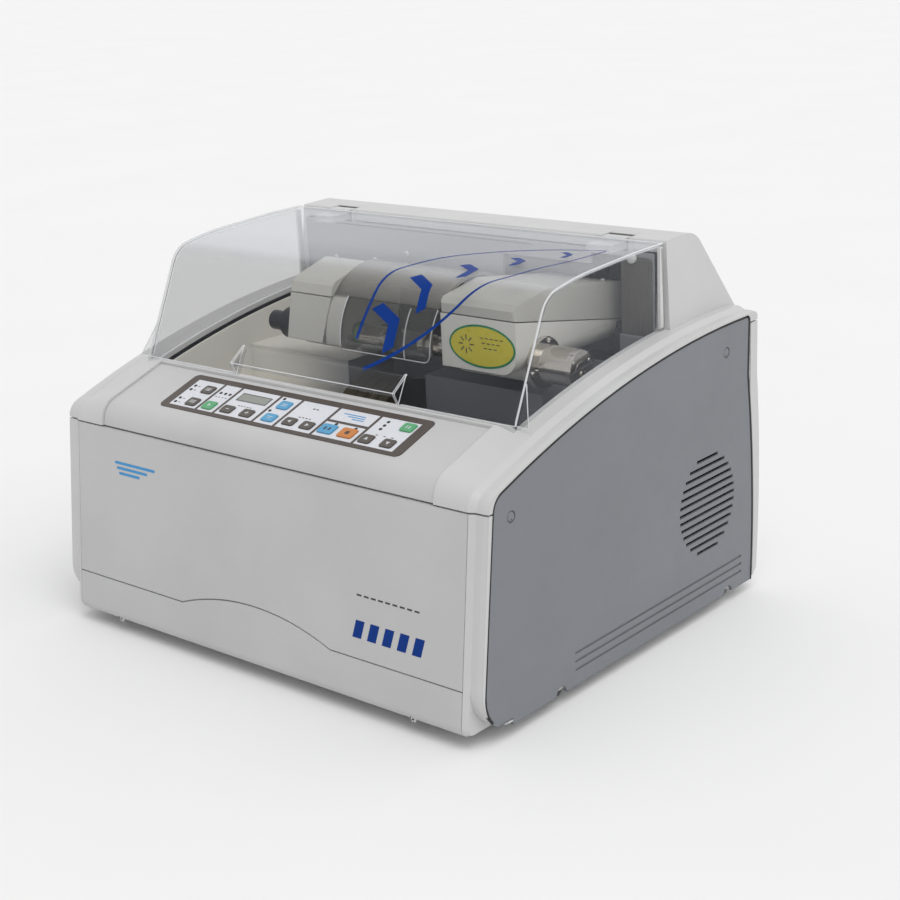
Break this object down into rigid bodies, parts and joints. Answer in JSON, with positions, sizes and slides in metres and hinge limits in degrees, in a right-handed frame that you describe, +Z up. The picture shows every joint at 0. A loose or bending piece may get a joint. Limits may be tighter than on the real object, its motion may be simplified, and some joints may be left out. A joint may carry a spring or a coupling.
{
  "type": "optical lens edger",
  "caption": "Bench-top optical lens edger with sloped keypad deck, hinged clear lid over a grinding chamber, swinging lens carriage, abrasive wheels and louvred side panels.",
  "frame": {"origin": "on the bench under the middle of the body", "axes": "+X to the right seen from the front, front faces -Y, +Z up"},
  "size_m": [0.53, 0.4495, 0.3686],
  "materials": {
    "cover_white": "satin moulded plastic",
    "front_grey": "fine textured light grey plastic",
    "panel_grey": "fine textured mid grey plastic",
    "deck_grey": "satin light grey plastic",
    "keypad_dark": "dark brown printed film",
    "keypad_white": "white printed film",
    "key_dark": "dark domed key",
    "key_green": "green domed key",
    "key_blue": "blue domed key",
    "key_orange": "orange domed key",
    "display": "grey display window",
    "clear_lid": "clear moulded acrylic",
    "shield_tint": "tinted clear plastic",
    "carriage_grey": "grey moulded casing",
    "tray_grey": "grey moulded tray",
    "cast_frame": "machined casting",
    "steel": "ground steel",
    "sheet_steel": "zinc plated sheet",
    "motor_dark": "dark painted metal",
    "rubber_black": "black rubber",
    "wheel_abrasive": "diamond bond rings",
    "black_plastic": "black moulded plastic",
    "board_green": "circuit board laminate"
  },
  "bodies": {
    "housing": {"lower_housing": "cover_white", "front_panel": "front_grey", "front_skirt": "front_grey", "side_panel_left": "panel_grey", "side_panel_right": "panel_grey", "rear_cover": "cover_white", "top_cover": "cover_white", "control_panel": "deck_grey", "keypad_frame": "keypad_dark", "keypad_plates": "keypad_white", "display_window": "display", "rubber_feet": "rubber_black", "base_plate": "sheet_steel", "power_inlet": "black_plastic", "hose_fittings": "steel", "chamber_tray": "tray_grey", "splash_wall": "cover_white", "spindle_housing": "cast_frame", "main_motor": "motor_dark", "drive_belt": "rubber_black", "fan_frame": "black_plastic", "circuit_board": "board_green", "power_supply": "sheet_steel", "pivot_rail": "steel"},
    "lid": {"lid_canopy": "clear_lid", "lid_side_right": "clear_lid", "lid_side_left": "clear_lid", "lid_hinge_arms": "cover_white"},
    "traverse": {"traverse_block": "cast_frame"},
    "carriage": {"carriage_frame": "cast_frame", "lobe_right_upper": "carriage_grey", "lobe_right_lower": "carriage_grey", "lobe_left_upper": "carriage_grey", "lobe_left_lower": "carriage_grey", "splash_hood": "carriage_grey", "splash_shield": "shield_tint", "clamp_motor": "steel"},
    "left_spindle": {"left_lens_shaft": "steel", "template_knob": "black_plastic"},
    "clamp": {"clamp_sleeve": "steel"},
    "right_spindle": {"right_lens_shaft": "steel"},
    "wheel_spindle": {"grinding_wheels": "wheel_abrasive", "spindle_shaft": "steel"},
    "drive": {"motor_pulley": "steel"},
    "fan": {"fan_rotor": "black_plastic"},
    "rocker": {"power_rocker": "black_plastic"},
    "key_menu": {"key_menu": "key_dark"},
    "key_select": {"key_select": "key_dark"},
    "key_start_green": {"key_start_green": "key_green"},
    "key_minus": {"key_minus": "key_dark"},
    "key_plus": {"key_plus": "key_dark"},
    "key_blue_upper": {"key_blue_upper": "key_blue"},
    "key_blue_lower": {"key_blue_lower": "key_blue"},
    "key_left": {"key_left": "key_dark"},
    "key_right": {"key_right": "key_dark"},
    "key_blue_wide": {"key_blue_wide": "key_blue"},
    "key_orange": {"key_orange": "key_orange"},
    "key_go_green": {"key_go_green": "key_green"},
    "key_up": {"key_up": "key_dark"},
    "key_down": {"key_down": "key_dark"}
  },
  "joints": [
    {"name": "lid_hinge", "type": "hinge", "parent": "housing", "child": "lid", "pos_m": [0, 0.11737, 0.361], "axis": [-1, 0, 0], "range_deg": [0, 75]},
    {"name": "traverse_slide", "type": "slide", "parent": "housing", "child": "traverse", "axis": [1, 0, 0], "range_m": [-0.03, 0.006]},
    {"name": "carriage_swing", "type": "hinge", "parent": "traverse", "child": "carriage", "pos_m": [0, 0.13937, 0.262], "axis": [1, 0, 0], "range_deg": [0, 7]},
    {"name": "left_spindle_turn", "type": "hinge", "parent": "carriage", "child": "left_spindle", "pos_m": [0, 0.00037, 0.271], "axis": [1, 0, 0], "continuous": true},
    {"name": "clamp_slide", "type": "slide", "parent": "carriage", "child": "clamp", "axis": [1, 0, 0], "range_m": [-0.034, 0]},
    {"name": "right_spindle_turn", "type": "hinge", "parent": "clamp", "child": "right_spindle", "pos_m": [0, 0.00037, 0.271], "axis": [1, 0, 0], "continuous": true},
    {"name": "wheel_spin", "type": "hinge", "parent": "housing", "child": "wheel_spindle", "pos_m": [0, 0.00437, 0.17], "axis": [1, 0, 0], "continuous": true},
    {"name": "drive_spin", "type": "hinge", "parent": "housing", "child": "drive", "pos_m": [0, 0.12937, 0.075], "axis": [1, 0, 0], "continuous": true},
    {"name": "fan_spin", "type": "hinge", "parent": "housing", "child": "fan", "pos_m": [0, 0.12737, 0.116], "axis": [1, 0, 0], "continuous": true},
    {"name": "rocker_tilt", "type": "hinge", "parent": "housing", "child": "rocker", "pos_m": [0.105, 0.21887, 0.06], "axis": [1, 0, 0], "range_deg": [-7, 7]},
    {"name": "key_menu_press", "type": "slide", "parent": "housing", "child": "key_menu", "axis": [0, 0.3129, -0.9498], "range_m": [0, 0.0005], "stiffness_N_per_m": 400, "springref_m": -0.0005},
    {"name": "key_select_press", "type": "slide", "parent": "housing", "child": "key_select", "axis": [0, 0.3129, -0.9498], "range_m": [0, 0.0005], "stiffness_N_per_m": 400, "springref_m": -0.0005},
    {"name": "key_start_green_press", "type": "slide", "parent": "housing", "child": "key_start_green", "axis": [0, 0.3129, -0.9498], "range_m": [0, 0.0005], "stiffness_N_per_m": 400, "springref_m": -0.0005},
    {"name": "key_minus_press", "type": "slide", "parent": "housing", "child": "key_minus", "axis": [0, 0.3129, -0.9498], "range_m": [0, 0.0005], "stiffness_N_per_m": 400, "springref_m": -0.0005},
    {"name": "key_plus_press", "type": "slide", "parent": "housing", "child": "key_plus", "axis": [0, 0.3129, -0.9498], "range_m": [0, 0.0005], "stiffness_N_per_m": 400, "springref_m": -0.0005},
    {"name": "key_blue_upper_press", "type": "slide", "parent": "housing", "child": "key_blue_upper", "axis": [0, 0.3129, -0.9498], "range_m": [0, 0.0005], "stiffness_N_per_m": 400, "springref_m": -0.0005},
    {"name": "key_blue_lower_press", "type": "slide", "parent": "housing", "child": "key_blue_lower", "axis": [0, 0.3129, -0.9498], "range_m": [0, 0.0005], "stiffness_N_per_m": 400, "springref_m": -0.0005},
    {"name": "key_left_press", "type": "slide", "parent": "housing", "child": "key_left", "axis": [0, 0.3129, -0.9498], "range_m": [0, 0.0005], "stiffness_N_per_m": 400, "springref_m": -0.0005},
    {"name": "key_right_press", "type": "slide", "parent": "housing", "child": "key_right", "axis": [0, 0.3129, -0.9498], "range_m": [0, 0.0005], "stiffness_N_per_m": 400, "springref_m": -0.0005},
    {"name": "key_blue_wide_press", "type": "slide", "parent": "housing", "child": "key_blue_wide", "axis": [0, 0.3129, -0.9498], "range_m": [0, 0.0005], "stiffness_N_per_m": 400, "springref_m": -0.0005},
    {"name": "key_orange_press", "type": "slide", "parent": "housing", "child": "key_orange", "axis": [0, 0.3129, -0.9498], "range_m": [0, 0.0005], "stiffness_N_per_m": 400, "springref_m": -0.0005},
    {"name": "key_go_green_press", "type": "slide", "parent": "housing", "child": "key_go_green", "axis": [0, 0.3129, -0.9498], "range_m": [0, 0.0005], "stiffness_N_per_m": 400, "springref_m": -0.0005},
    {"name": "key_up_press", "type": "slide", "parent": "housing", "child": "key_up", "axis": [0, 0.3129, -0.9498], "range_m": [0, 0.0005], "stiffness_N_per_m": 400, "springref_m": -0.0005},
    {"name": "key_down_press", "type": "slide", "parent": "housing", "child": "key_down", "axis": [0, 0.3129, -0.9498], "range_m": [0, 0.0005], "stiffness_N_per_m": 400, "springref_m": -0.0005}
  ],
  "couplings": [
    {"joint": "right_spindle_turn", "follows": "left_spindle_turn", "ratio": 1},
    {"joint": "drive_spin", "follows": "wheel_spin", "ratio": 0.69231}
  ]
}
